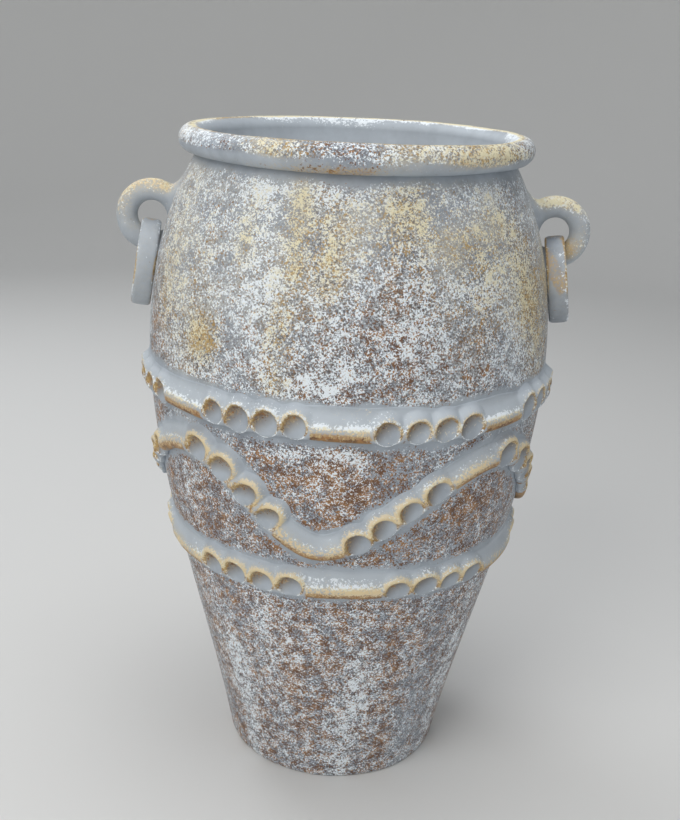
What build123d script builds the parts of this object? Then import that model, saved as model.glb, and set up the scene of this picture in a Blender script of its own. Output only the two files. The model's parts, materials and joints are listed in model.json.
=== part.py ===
from build123d import *

import math
import os

# Tall hand-built clay storage jar with pressed bands, two looped lugs and two loose rings.
# Millimetres, +Z up, origin at the centre of the underside. The front faces -Y, the lugs stand at +X and -X.
# The jar is put together as such jars are: a base disc, three wall rings stood on each other, a rolled rim,
# three applied bands, two of which hide the wall joints, two lugs and a loose ring hanging in each lug.

# Outer outline of the wall, from the foot up
foot_radius = 104.5
waist_radius = 132.0
waist_height = 124.0
lower_joint_radius = 158.7
lower_joint_height = 234.0
belly_wall_height = 152.0
upper_joint_radius = 182.0
shoulder_wall_height = 191.0
shoulder_radius = 171.0
shoulder_drop = 77.0
neck_radius = 140.0

# Wall and base
wall_thickness = 11.0
base_thickness = 14.0
foot_edge_radius = 3.0
floor_corner_size = 8.0

# Rolled rim
rim_roll_radius = 11.5
rim_overhang = 3.8

# Applied bands: a feathered upper edge, a round nose and an undercut lip
band_height = 26.0
wave_band_height = 20.0
band_stand_off = 8.0
band_nose_rise = 4.0
band_nose_height = 10.0
band_nose_top_stand_off = 6.4
band_lip_stand_off = 1.5
band_root_depth = 4.0
upper_joint_cover = 10.0
lower_joint_cover = 8.5

# Wave of the middle band, which falls faster than it climbs
wave_count = 4
wave_peak_gap = 36.5
wave_trough_gap = 40.0
wave_peak_angle = 44.5
wave_skew = 0.33
wave_joint_angle = -6.0
sections_in_wave = 12

# Thumb presses: pads squeezed out of the band, each with a dished face
press_pad_radius = 10.4
press_pad_taper = 1.6
press_pad_stand_off = 7.0
press_dish_radius = 9.2
press_dish_depth = 3.4
press_tilt = 8.0
press_rise = 9.8
presses_in_group = 4
upper_group_count = 8
upper_group_pitch = 24.5
lower_group_count = 6
lower_group_pitch = 26.5
wave_group_pitch = 26.5
wave_falling_group_angle = 14.2
wave_climbing_group_angle = 62.7

# Lugs
lug_drop = 60.0
lug_stand_off = 14.8
lug_hole_radius = 13.5
lug_bar_radius = 9.5
lug_upper_flare = 5.0
lug_lower_flare = 3.0
lug_flare_sharpness = 4
lug_root_overrun = 18.0
sections_in_lug = 10

# Loose rings
ring_inner_radius = 32.0
ring_thickness = 7.5
ring_width = 17.5
ring_edge_radius = 3.0
ring_yaw = 8.0
ring_gap = 0.5
points_round_ring = 72

# Heights that follow: each wall ring stands on the one below, and the straight bands cover their joints
upper_joint_height = lower_joint_height + belly_wall_height
wall_top_height = upper_joint_height + shoulder_wall_height
shoulder_height = wall_top_height - shoulder_drop
upper_band_lip_height = upper_joint_height - upper_joint_cover
lower_band_lip_height = lower_joint_height - lower_joint_cover
wave_peak_lip_height = upper_band_lip_height - wave_peak_gap
wave_trough_lip_height = lower_band_lip_height + wave_trough_gap
lug_height = wall_top_height - lug_drop


# Outline of the wall, drawn with radius along X and height along Y
outline = Spline(
    (foot_radius, 0),
    (waist_radius, waist_height),
    (lower_joint_radius, lower_joint_height),
    (upper_joint_radius, upper_joint_height),
    (shoulder_radius, shoulder_height),
    (neck_radius, wall_top_height),
)


def outline_share(height):
    """Where the outline passes a height, as a share of its run from the foot to the wall's top."""
    low, high = 0.0, 1.0
    for _ in range(24):
        middle = (low + high) / 2
        if (outline @ middle).Y < height:
            low = middle
        else:
            high = middle
    return (low + high) / 2


def wall_radius(height):
    return (outline @ outline_share(height)).X


def wall_lean(height):
    """Degrees by which the wall's outer face looks down at a height."""
    along = outline % outline_share(height)
    return math.degrees(math.atan2(along.X, along.Y))


def turned(section):
    """A section with radius along X and height along Y, turned round the jar's axis."""
    return revolve(Plane.XZ * section, Axis.Z, 360)


def filled(line):
    """The solid between a line from the foot to the wall's top and the jar's axis."""
    to_axis = Polyline(line @ 1, (0, wall_top_height), (0, 0), line @ 0)
    return turned(make_face([line, to_axis]))


def between(shape, low, high):
    """The slice of a shape between two heights."""
    reach = 3 * max(foot_radius, waist_radius, lower_joint_radius, upper_joint_radius, shoulder_radius)
    return shape & Pos(0, 0, (low + high) / 2) * Box(reach, reach, high - low)


# Filled outer form, the hollow in it, and the shell between them
def make_hollow():
    hollow = between(filled(Pos(-wall_thickness, 0) * outline), base_thickness, wall_top_height)
    floor_edge = hollow.edges().group_by(Axis.Z)[0]
    return chamfer(floor_edge, floor_corner_size)


outer_form = filled(outline)
shell = outer_form - make_hollow()


def make_base_disc():
    disc = between(shell, 0, base_thickness)
    return fillet(disc.edges().group_by(Axis.Z)[0], foot_edge_radius)


# Rolled rim, seated on the wall's top and flush with it inside
def make_rim_roll():
    centre_radius = neck_radius + rim_overhang
    centre_height = wall_top_height + rim_roll_radius
    seat_inside = (neck_radius - wall_thickness, wall_top_height)
    roll_inside = (centre_radius - rim_roll_radius, centre_height)
    roll_outside = (centre_radius + rim_roll_radius, centre_height)
    roll_under = (centre_radius, wall_top_height)
    roll_top = (centre_radius, centre_height + rim_roll_radius)
    outside = RadiusArc(roll_under, roll_outside, -rim_roll_radius)
    over = ThreePointArc(roll_outside, roll_top, roll_inside)
    seat = Polyline(roll_inside, seat_inside, roll_under)
    return turned(make_face([outside, over, seat]))


# Applied bands
def band_section(lip_height, height, stretch=1.0):
    """Section of a band with its root inside the wall, drawn as the outline is."""

    def at(rise, stand_off):
        level = lip_height + rise * stretch
        return Vector(wall_radius(level) + stand_off, level)

    lip = at(0, band_lip_stand_off)
    nose = at(band_nose_rise, band_stand_off)
    nose_top = at(band_nose_height, band_nose_top_stand_off)
    feather_slope = band_nose_top_stand_off / (height - band_nose_height)
    root_top = at(height + band_root_depth / feather_slope, -band_root_depth)
    root_lip = at(0, -band_root_depth)
    return make_face([ThreePointArc(lip, nose, nose_top), Polyline(nose_top, root_top, root_lip, lip)])


def press_place(angle, height):
    """Place of a thumb press on the wall: its Z points out along the press, angle 0 is the front."""
    tilt = wall_lean(height) + press_tilt
    return Rot(0, 0, angle - 90) * Pos(wall_radius(height), 0, height) * Rot(0, 90 + tilt, 0)


def press_pad(place):
    depth = press_pad_stand_off + band_root_depth
    pad = Cone(press_pad_radius + press_pad_taper, press_pad_radius, depth)
    return place * Pos(0, 0, press_pad_stand_off - depth / 2) * pad


def press_dish(place):
    ball_radius = (press_dish_radius**2 + press_dish_depth**2) / (2 * press_dish_depth)
    return place * Pos(0, 0, press_pad_stand_off + ball_radius - press_dish_depth) * Sphere(ball_radius)


def pressed(strip, places):
    """A strip with its pads, trimmed to the wall's outer face, and dished."""
    pads = [press_pad(place) for place in places]
    dishes = [press_dish(place) for place in places]
    reach = strip.bounding_box()
    margin = 2 * press_pad_radius
    wall = between(outer_form, reach.min.Z - margin, reach.max.Z + margin)
    return (strip + pads) - wall - dishes


def patterned(stretch_of_band, count):
    """Equal stretches of a band, side by side all round the jar."""
    return stretch_of_band + [Rot(0, 0, 360 / count * index) * stretch_of_band for index in range(1, count)]


def group_offsets():
    return [press - (presses_in_group - 1) / 2 for press in range(presses_in_group)]


def level_band(lip_height, group_count, group_pitch):
    height = lip_height + press_rise
    share = 360 / group_count
    pitch_angle = math.degrees(group_pitch / (wall_radius(height) + press_pad_stand_off))
    strip = Rot(0, 0, -90) * revolve(Plane.XZ * band_section(lip_height, band_height), Axis.Z, share)
    places = [press_place(share / 2 + offset * pitch_angle, height) for offset in group_offsets()]
    return patterned(pressed(strip, places), group_count)


def wave_lip_height(angle):
    turn = math.radians(wave_count * (angle - wave_peak_angle))
    phase = turn + wave_skew * (1 - math.cos(turn)) / 2
    middle = (wave_peak_lip_height + wave_trough_lip_height) / 2
    return middle + (wave_peak_lip_height - middle) * math.cos(phase)


def wave_slope(angle):
    """Degrees by which the wave climbs along the wall."""
    step = 0.5
    rise = wave_lip_height(angle + step) - wave_lip_height(angle - step)
    run = math.radians(2 * step) * wall_radius(wave_lip_height(angle))
    return math.degrees(math.atan2(rise, run))


def wave_group(middle_angle):
    """Presses one pitch apart along the wave, set square to the lip from an angle in their middle."""
    places = []
    for offset in group_offsets():
        angle = middle_angle
        steps = 12
        for _ in range(steps):
            run = offset * wave_group_pitch / steps * math.cos(math.radians(wave_slope(angle)))
            angle += math.degrees(run / (wall_radius(wave_lip_height(angle)) + press_pad_stand_off))
        slope = math.radians(wave_slope(angle))
        height = wave_lip_height(angle) + press_rise * math.cos(slope)
        back = math.degrees(press_rise * math.sin(slope) / wall_radius(height))
        places.append(press_place(angle - back, height))
    return places


def make_wave_band():
    period = 360 / wave_count
    start = wave_peak_angle + wave_joint_angle
    sections = []
    for index in range(sections_in_wave + 1):
        angle = start + period * index / sections_in_wave
        stretch = 1 / math.cos(math.radians(wave_slope(angle)))
        section = Plane.XZ * band_section(wave_lip_height(angle), wave_band_height, stretch)
        sections.append(Rot(0, 0, angle - 90) * section)
    places = wave_group(wave_peak_angle + wave_falling_group_angle)
    places += wave_group(wave_peak_angle + wave_climbing_group_angle)
    return patterned(pressed(loft(sections), places), wave_count)


# Lugs: a looped bar that thickens outwards to its two roots in the shoulder
lug_centre_radius = wall_radius(lug_height) + lug_stand_off


def lug_section(angle, bar_radius):
    """Round section of the bar, beyond the hole's edge at an angle seen from the front, 0 pointing outwards."""
    out = Vector(math.cos(math.radians(angle)), 0, math.sin(math.radians(angle)))
    centre = Vector(lug_centre_radius, 0, lug_height) + out * (lug_hole_radius + bar_radius)
    return Plane(centre, x_dir=(0, 1, 0), z_dir=out.cross(Vector(0, 1, 0))) * Circle(bar_radius)


def make_lug():
    lean = wall_lean(lug_height)
    to_wall = lug_stand_off * math.cos(math.radians(lean))
    half_gap = math.degrees(math.acos(to_wall / (lug_hole_radius + lug_bar_radius))) - lug_root_overrun
    upper_end = 180 - lean - half_gap
    sweep = 360 - 2 * half_gap
    sections = []
    for index in range(sections_in_lug + 1):
        share = index / sections_in_lug
        nearness = abs(1 - 2 * share) ** lug_flare_sharpness
        flare = lug_upper_flare if share < 0.5 else lug_lower_flare
        sections.append(lug_section(upper_end - sweep * share, lug_bar_radius + flare * nearness))
    return loft(sections) - outer_form


# Loose rings: a flat strip bent round and closed, hanging in the lug and leaning on the shoulder
def ring_drop():
    """From the middle of the lug's hole to the ring's middle, with the ring hanging in the hole."""
    flat_half_width = ring_width / 2 - ring_edge_radius
    room = lug_hole_radius - ring_gap - ring_edge_radius
    return math.sqrt(room**2 - flat_half_width**2) + ring_edge_radius + ring_inner_radius


def ring_place(lean):
    hung = Pos(0, 0, -ring_drop()) * Rot(0, 0, -ring_yaw) * Rot(0, 90, 0)
    return Pos(lug_centre_radius, 0, lug_height) * Rot(0, -lean, 0) * hung


def ring_to_wall(lean):
    """Least gap between the shoulder and the ring's rounded inner edges at a lean."""
    edge_height = -(ring_width / 2 - ring_edge_radius)
    edge_radius = ring_inner_radius + ring_thickness - ring_edge_radius
    gaps = []
    for step in range(points_round_ring):
        turn = 2 * math.pi * step / points_round_ring
        local = Pos(edge_radius * math.cos(turn), edge_radius * math.sin(turn), edge_height)
        point = (ring_place(lean) * local).position
        away = math.hypot(point.X, point.Y) - wall_radius(point.Z)
        gaps.append(away * math.cos(math.radians(wall_lean(point.Z))) - ring_edge_radius)
    return min(gaps)


def resting_lean():
    low, high = 0.0, 60.0
    for _ in range(16):
        middle = (low + high) / 2
        if ring_to_wall(middle) < ring_gap:
            low = middle
        else:
            high = middle
    return high


def make_ring():
    strip = Pos(ring_inner_radius + ring_thickness / 2, 0) * Rectangle(ring_thickness, ring_width)
    rounded = fillet(strip.vertices(), ring_edge_radius)
    return ring_place(resting_lean()) * turned(rounded)


# The whole jar, one solid for each piece
def make_jar():
    lug = make_lug()
    ring = make_ring()
    return {
        "base_disc": make_base_disc(),
        "lower_wall": between(shell, base_thickness, lower_joint_height),
        "belly_wall": between(shell, lower_joint_height, upper_joint_height),
        "shoulder_wall": between(shell, upper_joint_height, wall_top_height),
        "rim_roll": make_rim_roll(),
        "upper_band": level_band(upper_band_lip_height, upper_group_count, upper_group_pitch),
        "wave_band": make_wave_band(),
        "lower_band": level_band(lower_band_lip_height, lower_group_count, lower_group_pitch),
        "right_lug": lug,
        "left_lug": mirror(lug, Plane.YZ),
        "right_ring": ring,
        "left_ring": mirror(ring, Plane.YZ),
    }


os.makedirs("parts", exist_ok=True)
for node, shape in make_jar().items():
    export_step(shape, f"parts/{node}.step")
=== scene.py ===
import json

import bpy
import numpy as np
from mathutils import Matrix, Vector


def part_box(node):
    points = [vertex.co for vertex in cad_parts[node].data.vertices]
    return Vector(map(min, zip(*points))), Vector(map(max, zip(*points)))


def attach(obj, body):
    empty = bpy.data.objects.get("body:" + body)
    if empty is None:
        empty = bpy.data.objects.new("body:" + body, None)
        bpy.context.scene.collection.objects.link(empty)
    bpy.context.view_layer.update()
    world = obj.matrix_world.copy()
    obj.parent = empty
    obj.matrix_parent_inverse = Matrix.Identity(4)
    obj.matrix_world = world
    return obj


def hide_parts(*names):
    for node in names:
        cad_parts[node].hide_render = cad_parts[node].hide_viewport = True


# A tall hand-built clay storage jar: painted walls, a rolled rim, thumb-pressed bands, lugs and loose rings.
# Metres, +Z up, the front at -Y. Angles round the jar start at the front and grow towards +X.

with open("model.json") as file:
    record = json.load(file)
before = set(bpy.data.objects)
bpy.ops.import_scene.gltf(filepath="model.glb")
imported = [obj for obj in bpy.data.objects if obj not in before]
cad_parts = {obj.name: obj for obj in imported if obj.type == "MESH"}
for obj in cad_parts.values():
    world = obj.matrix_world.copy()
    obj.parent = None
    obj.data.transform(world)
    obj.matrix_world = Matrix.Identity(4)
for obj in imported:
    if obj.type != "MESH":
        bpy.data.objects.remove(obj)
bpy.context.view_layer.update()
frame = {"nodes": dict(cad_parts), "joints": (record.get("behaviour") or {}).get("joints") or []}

MM = 0.001
DEGREE = np.pi / 180

# Camera
CAMERA_PLACE = (0.0, -0.9657, 0.6726)
CAMERA_YAW = -0.28 * DEGREE
CAMERA_PITCH = 19.06 * DEGREE
CAMERA_ROLL = 2.45 * DEGREE
CAMERA_LENS = 46.96

# Stage
FLOOR_RADIUS = 2.3
FLOOR_BEND = 0.9
FLOOR_WALL = 2.2
FLOOR_STEPS_ROUND = 96
FLOOR_BEND_ROWS = 24
FLOOR_COLOUR = (0.7, 0.7, 0.69, 1)
FLOOR_ROUGHNESS = 0.9

# Lamps: name, place, size, power and colour of each, all turned to one target, and the world round them
LAMPS = (
    ("key", (-0.85, -1.3, 1.75), 1.2, 15.5, (1.0, 0.985, 0.96)),
    ("top", (0.1, 0.0, 2.3), 1.4, 14, (1.0, 1.0, 1.0)),
    ("front", (-0.7, -1.9, 0.9), 1.0, 5, (1.0, 0.985, 0.97)),
    ("fill", (1.6, -1.1, 0.9), 1.2, 2.5, (0.95, 0.97, 1.0)),
    ("back", (-1.1, 1.2, 1.5), 1.0, 9, (0.95, 0.97, 1.0)),
)
LAMP_TARGET = (0, 0, 0.33)
WORLD_COLOUR = (0.93, 0.96, 1.0, 1)
WORLD_STRENGTH = 0.35

# Grids of the pieces
STEPS_ROUND = 512
ANGLES_ROUND = np.linspace(-np.pi, np.pi, STEPS_ROUND, endpoint=False)
WALL_ROW_STEP = 2.4 * MM
INNER_ROW_STEP = 6 * MM
BASE_FLAT_ROWS = 9
BASE_EDGE_ROWS = 7
BASE_SIDE_ROWS = 7
BASE_FLOOR_ROWS = 14
RIM_ROWS = 44
LIP_SAMPLES = 7201
BAND_STEP = 0.85 * MM
BAND_ROWS = 56
BAND_ROW_CROWDING = 1.12
LUG_STEPS_ROUND = 72
LUG_BAR_ROWS = 70
LUG_ROOT_ROWS = 22
RING_STEPS_ROUND = 260
RING_SECTION_POINTS = 56
RING_SECTION_SAMPLES = 400
SHARP_EDGE = 50 * DEGREE
OUTLINE_TERMS = 14

# Seeds of the random draws. The rim, bands and rings also use the numbers that follow theirs,
# and each lug takes the number before or after its own.
WOBBLE_SEED = 11
BARE_EDGE_SEED = 21
WHITE_SEED = 31
RUST_SEED = 32
BACK_GOLD_SEED = 33
GOLD_SEED = 34
STREAK_SEED = 35
MOUTH_SEED = 41
RIM_SEED = 51
LUG_SHAPE_SEED = 61
LUG_PAINT_SEED = 65
LEFT_RING_SEED = 71
RIGHT_RING_SEED = 81
UPPER_BAND_SEED = 100
LOWER_BAND_SEED = 200
WAVE_BAND_SEED = 300

# Hand-made unevenness of the wall: its size, and the height over which it twists round
WOBBLE_SIZE = 0.45 * MM
DRIFT_HEIGHT = 0.25

# Base, inner corner and rim
BASE_HUB = 4 * MM
FOOT_EDGE = 3 * MM
INNER_CORNER = 8 * MM
RIM_SEAT_SLOPE = 1.2 * MM
RIM_SEAT_RISE = 4 * MM
RIM_SEAT_TURNS = (3.4, 3.6)

# Applied bands
BAND_HEIGHT = 26 * MM
WAVE_BAND_HEIGHT = 23 * MM
BAND_STAND_OFF = 8 * MM
BAND_OVERRUN = 9 * MM
BAND_WANDER = 0.45 * MM
BAND_LEDGE = 0.55 * MM
BAND_LEDGE_SLOPE = 0.8 * MM
BAND_EDGE_SINK = 0.6 * MM
BAND_EDGE_FADE = 0.4 * MM
BAND_LIP_ROUNDING = 1.5 * MM
BAND_LUMPS = 0.18 * MM
BAND_BACK = -1.4 * MM
NOSE_RISE = 8.5 * MM
NOSE_ROUNDNESS = 2.4
FALL_POWER = 2.4
UPPER_LIP = 376 * MM
LOWER_LIP = 225.5 * MM
WAVE_COUNT = 4
WAVE_PEAK_LIP = 339.5 * MM
WAVE_TROUGH_LIP = 265.5 * MM
WAVE_PEAK_ANGLE = 44.5 * DEGREE
WAVE_SKEW = 0.33

# Thumb presses. The tilt's way is across and up, towards the deepest part of a press.
PRESS_RIM = 1.2 * MM
PRESS_MARGIN = 5 * MM
PRESS_WINDOW = 22 * MM
PRESS_FLOOR = 2.5 * MM
PRESS_TILT = 0.9 * MM
PRESS_TILT_WAY = (-0.6, 0.8)
PRESS_CROWN = 5.7 * MM
PRESS_CROWN_LIFT = 0.25
PRESS_CROWN_FLAT = 0.8 * MM
PRESS_CROWN_FALL = 8 * MM
PRESS_RIM_BLEND = 3 * MM
PRESS_SMEAR_BLEND = 2 * MM
PRESS_DISH_OVERLAP = 0.4 * MM
PRESS_DISH_BLEND = 0.6 * MM
PRESS_DISH_REACH = 1.2
PRESS_DISH_LIMIT = 1.3
PRESS_DISH_POWER = 3.6
PRESS_STAND_OFF = 7 * MM
PRESS_SHIFT = 0.6 * MM
PRESS_SWELL = 0.04
PRESS_LIFT = 0.5 * MM
PRESSES_IN_GROUP = 4

# Rise over the lip, half width and half height of the presses, in every other group
UPPER_PRESSES = ((8.3 * MM, 9.7 * MM, 10.4 * MM), (10.9 * MM, 9.9 * MM, 11.3 * MM))
LOWER_PRESSES = ((9.0 * MM, 10.8 * MM, 9.9 * MM), (10.4 * MM, 10.8 * MM, 11.6 * MM))
WAVE_PRESSES = ((11.2 * MM, 9.6 * MM, 12.6 * MM), (9.6 * MM, 10.4 * MM, 10.3 * MM))

# Groups of presses
UPPER_GROUPS = 8
UPPER_PITCH = 24.5 * MM
UPPER_TURN = -0.6 * DEGREE
LOWER_GROUPS = 6
LOWER_PITCH = 26.5 * MM
LOWER_TURN = 2.2 * DEGREE
WAVE_PITCH = 26.5 * MM
WAVE_FALLING_GROUP = 14.2 * DEGREE
WAVE_CLIMBING_GROUP = 62.7 * DEGREE

# Lugs. A foot is its distance along the shoulder, half height and half width.
LUG_HOLE = 13.5 * MM
LUG_BAR = 9.6 * MM
LUG_UNEVEN = 0.28 * MM
LUG_UPPER_TURN = 118 * DEGREE
LUG_LOWER_TURN = -83 * DEGREE
LUG_UPPER_FOOT = (25 * MM, 26.5 * MM, 18 * MM)
LUG_LOWER_FOOT = (19 * MM, 14.5 * MM, 13 * MM)
LUG_ROOT_PULL = 20 * MM
LUG_ROOT_SINK = 0.5 * MM
LUG_ROOT_LEAVING_SINK = 0.6 * MM
LUG_ROOT_DEPTH = 2 * MM
LUG_ROOT_CLOSING = 0.98

# Rings
RING_ROUNDNESS = 3.4
RING_UNEVEN = 0.012

# Paints
GREY_DEEP = (0.27, 0.305, 0.355)
GREY_LIGHT = (0.40, 0.45, 0.51)
GREY_PALE = (0.57, 0.62, 0.66)
WHITE = (0.83, 0.885, 0.93)
# Near-black for painted shade in the pits between flecks
PIT_SHADE = (0.075, 0.056, 0.047)
RUST = (0.38, 0.195, 0.075)
RUST_DEEP = (0.16, 0.082, 0.046)
# Dark brown for painted shade on the shaded sides of the dishes and under the bands' noses
PAINTED_SHADE = (0.15, 0.115, 0.09)
OCHRE = (0.46, 0.31, 0.12)
GOLD = (0.62, 0.46, 0.20)
PALE_GOLD = (0.71, 0.64, 0.42)
GILT = (0.77, 0.71, 0.50)
BRUSHED_GOLD = (0.74, 0.60, 0.36)
CREAM = (0.80, 0.735, 0.58)

# Grain of the paints
BROAD_SIZE = 34 * MM
CLUMP_SIZE = 9 * MM
RUST_CLUMP_SIZE = 12 * MM
CLAY_SIZE = 0.9 * MM
BUMP_DEPTH = 0.5 * MM
BUMP_STRENGTH = 0.3
SPECULAR_LEVEL = 0.3
LEAST_ROUGHNESS = 0.43

# Where the wall stays plain grey: how far under the rim and beside a band, with a ragged edge
BARE_UNDER_RIM = 11 * MM
BARE_ABOVE_BAND = 8 * MM
BARE_BELOW_BAND = 10 * MM
BARE_RAGGED = 1.5 * MM

# How deep paint reaches into the mouth, and the angle at which flakes lie thickest inside the rim
MOUTH_PAINT_DEPTH = 25 * MM
RIM_FLAKES_ANGLE = 140 * DEGREE

# Heights in millimetres, and the amount of sponged paint at each
WHITE_UP_WALL = ((0, 220, 300, 400, 560), (0.47, 0.44, 0.34, 0.49, 0.5))
RUST_UP_WALL = ((0, 220, 300, 390, 470, 560), (0.56, 0.56, 0.58, 0.48, 0.39, 0.31))

# Patches of paint: angle in degrees, height in millimetres, spread round, spread up and amount
GOLD_PATCHES = (
    (-30.5, 525, 3.6, 22, 0.6), (-15.5, 551, 4, 24, 0.95), (-14.5, 510, 2.4, 15, 0.6),
    (-18, 453, 4.6, 36, 0.7), (-40, 441, 5.5, 19, 1.1), (-60, 475, 6, 40, 0.2), (-3, 539, 8, 27, 0.65),
    (-5, 501, 4.4, 18, 0.55), (-18, 414, 7, 16, 0.65), (14.5, 545, 9.5, 26, 0.75), (31, 525, 8, 15, 0.55),
    (24, 402, 10, 8, 0.3), (47, 540, 10, 25, 0.7), (42, 500, 12, 50, 0.5), (57, 480, 8, 50, 0.9),
    (66, 440, 10, 60, 0.7), (-9, 522, 15, 42, 0.3), (-38, 500, 16, 60, 0.2),
)
WHITE_PATCHES = (
    (-20, 492, 8, 22, 0.14), (33, 492, 9, 15, 0.24), (-9, 421, 7, 11, 0.2), (-4, 562, 40, 7, 0.14),
    (-43, 107, 9, 60, 0.2), (9, 100, 6, 60, 0.15), (14, 450, 8, 18, 0.14), (-8, 362, 9, 6, 0.2),
    (-48, 300, 14, 22, 0.1), (-39, 441, 6, 19, -0.12),
)
RUST_PATCHES = (
    (-4, 338, 15, 20, 0.2), (40, 308, 14, 20, 0.25), (-13, 122, 6, 70, 0.18), (33, 164, 8, 40, 0.18),
    (-46, 262, 10, 18, 0.12), (11, 465, 10, 42, 0.17), (-60, 440, 9, 30, 0.15), (36, 470, 18, 60, 0.1),
    (-40, 441, 5, 17, 0.16), (57, 490, 9, 60, 0.08),
)
RIM_GOLD_PATCHES = (
    (-24, 0, 16, 1, 0.6), (12, 0, 8, 1, 0.3), (40, 0, 18, 1, 0.5),
    (125, 0, 20, 1, 0.5), (215, 0, 24, 1, 0.5),
)
BACK_PATCH_COUNT = 26

# Where paint gathers on a press, and the shaded side of its dish, which also takes painted shade
PRESS_MARKS = ("dished", "rimmed", "tops", "lows", "cusps", "shaded_side")


def smooth_step(low, high, value):
    """0 at one value, 1 at another and smooth between them."""
    share = np.clip((value - low) / (high - low), 0, 1)
    return share * share * (3 - 2 * share)


def hump(value, middle, width):
    """1 at the middle, falling off to both sides."""
    return np.exp(-(((value - middle) / width) ** 2))


def soft_max(first, second, width):
    """The larger of two lengths, with a rounded change from one to the other."""
    width = np.minimum(width, np.maximum(first, second).clip(0)) + 1e-9
    share = np.clip(0.5 + 0.5 * (second - first) / width, 0, 1)
    return first + (second - first) * share + width * share * (1 - share)


def soft_min(first, second, width):
    """The smaller of two lengths, with a rounded change from one to the other."""
    share = np.clip(0.5 + 0.5 * (first - second) / width, 0, 1)
    return first + (second - first) * share - width * share * (1 - share)


def blurred(field, steps):
    """A grid smoothed over the given numbers of steps along its two axes, which both run round."""
    spectrum = np.fft.fft2(field)
    for axis, step in enumerate(steps):
        kernel = np.exp(-2 * (np.pi * step * np.fft.fftfreq(field.shape[axis])) ** 2)
        spectrum *= np.expand_dims(kernel, 1 - axis)
    return np.fft.ifft2(spectrum).real


def lumps(shape, steps, seed):
    """Smooth random grid of unit spread whose lumps are the given numbers of steps long."""
    field = blurred(np.random.default_rng(seed).standard_normal(shape), steps)
    return field / field.std()


def lumps_along(count, step, seed):
    """Smooth random row of unit spread whose lumps are the given number of steps long."""
    return lumps((count, 1), (step, 0), seed)[:, 0]


def drift(angle, height, seed):
    """Slow random change over the jar, of about unit spread."""
    rng = np.random.default_rng(seed)
    total = 0.0
    for waves in (1, 2, 3, 4, 5, 7, 9):
        twist = rng.uniform(-1, 1) * waves / DRIFT_HEIGHT
        total = total + np.sin(waves * angle + twist * height + rng.uniform(0, 2 * np.pi))
    return total / 2


# The wall's outline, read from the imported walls
def node_points(node):
    """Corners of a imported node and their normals."""
    mesh = frame["nodes"][node].data
    points = np.array([corner.co for corner in mesh.vertices])
    normals = np.array([corner.normal for corner in mesh.vertices])
    return points, normals


def read_outline():
    """The outer radius as a curve over the height, and the wall's thickness."""
    heights, radii, outward = [], [], []
    for node in ("lower_wall", "belly_wall", "shoulder_wall"):
        points, normals = node_points(node)
        radius = np.hypot(points[:, 0], points[:, 1])
        heights.append(points[:, 2])
        radii.append(radius)
        outward.append((points[:, :2] * normals[:, :2]).sum(axis=1) / radius)
    height, radius, outward = (np.concatenate(part) for part in (heights, radii, outward))
    outer, inner = outward > 0.5, outward < -0.5
    curve = np.polynomial.Chebyshev.fit(height[outer], radius[outer], OUTLINE_TERMS)
    return curve, np.median(curve(height[inner]) - radius[inner])


outline, wall_thickness = read_outline()
outline_slope = outline.deriv()
base_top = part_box("base_disc")[1][2]
lower_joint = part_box("belly_wall")[0][2]
upper_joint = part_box("belly_wall")[1][2]
wall_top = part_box("shoulder_wall")[1][2]


def wobble(angle, height):
    """Out-of-round of the hand-raised wall, least beside the lugs and their rings."""
    steady = 0.12 + 0.88 * np.cos(angle) ** 2
    return WOBBLE_SIZE * steady * drift(angle, height, WOBBLE_SEED)


def around_axis(radius, angle, height):
    """Points at a radius, an angle and a height round the jar's axis."""
    spots = (radius * np.sin(angle), -radius * np.cos(angle), height)
    return np.stack(np.broadcast_arrays(*spots), axis=-1)


def on_wall(angle, height, stand_off=0.0):
    """Points that stand off the wall's outer face at an angle and a height."""
    slope = outline_slope(height)
    flat = 1 / np.sqrt(1 + slope**2)
    radius = outline(height) + wobble(angle, height) + stand_off * flat
    return around_axis(radius, angle, height - stand_off * slope * flat)


# Pieces
def make_piece(name, points, masks, paint, body, nodes, capped=False, sharp=False):
    """A closed piece on a grid of points that runs round both ways, or one way between two capped ends."""
    rows, columns, _ = points.shape
    corners = points.reshape(-1, 3)
    masks = {layer: np.broadcast_to(amount, (rows, columns)).ravel() for layer, amount in masks.items()}
    index = np.arange(rows * columns).reshape(rows, columns)
    near, far = (index[:-1], index[1:]) if capped else (index, np.roll(index, -1, axis=0))
    sides = [near, np.roll(near, -1, axis=1), np.roll(far, -1, axis=1), far]
    quads = np.stack(sides, axis=-1).reshape(-1, 4)
    fans = []
    if capped:
        for row, hub, turn in ((index[0], len(corners), -1), (index[-1], len(corners) + 1, 1)):
            around = row[::turn]
            fans.append(np.stack([around, np.roll(around, -1), np.full(columns, hub)], axis=-1))
        corners = np.concatenate([corners, [points[0].mean(axis=0), points[-1].mean(axis=0)]])
        masks = {layer: np.append(amount, amount[[0, -1]]) for layer, amount in masks.items()}
    triangles = np.concatenate([quads[:, [0, 1, 2]], quads[:, [0, 2, 3]], *fans])
    first, second, third = (corners[triangles[:, side]] for side in range(3))
    outward = 1 if (first * np.cross(second, third)).sum() > 0 else -1
    faces = [face for part in (quads, *fans) for face in part[:, ::outward].tolist()]
    mesh = bpy.data.meshes.new(name)
    mesh.from_pydata(corners.tolist(), [], faces)
    mesh.shade_smooth()
    if sharp:
        mesh.set_sharp_from_angle(angle=SHARP_EDGE)
    for layer, amount in masks.items():
        attribute = mesh.attributes.new(layer, "FLOAT", "POINT")
        attribute.data.foreach_set("value", np.clip(amount, 0, 1).astype(np.float32))
    mesh.materials.append(paint)
    piece = bpy.data.objects.new(name, mesh)
    bpy.context.scene.collection.objects.link(piece)
    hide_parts(*nodes)
    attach(piece, body)


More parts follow.
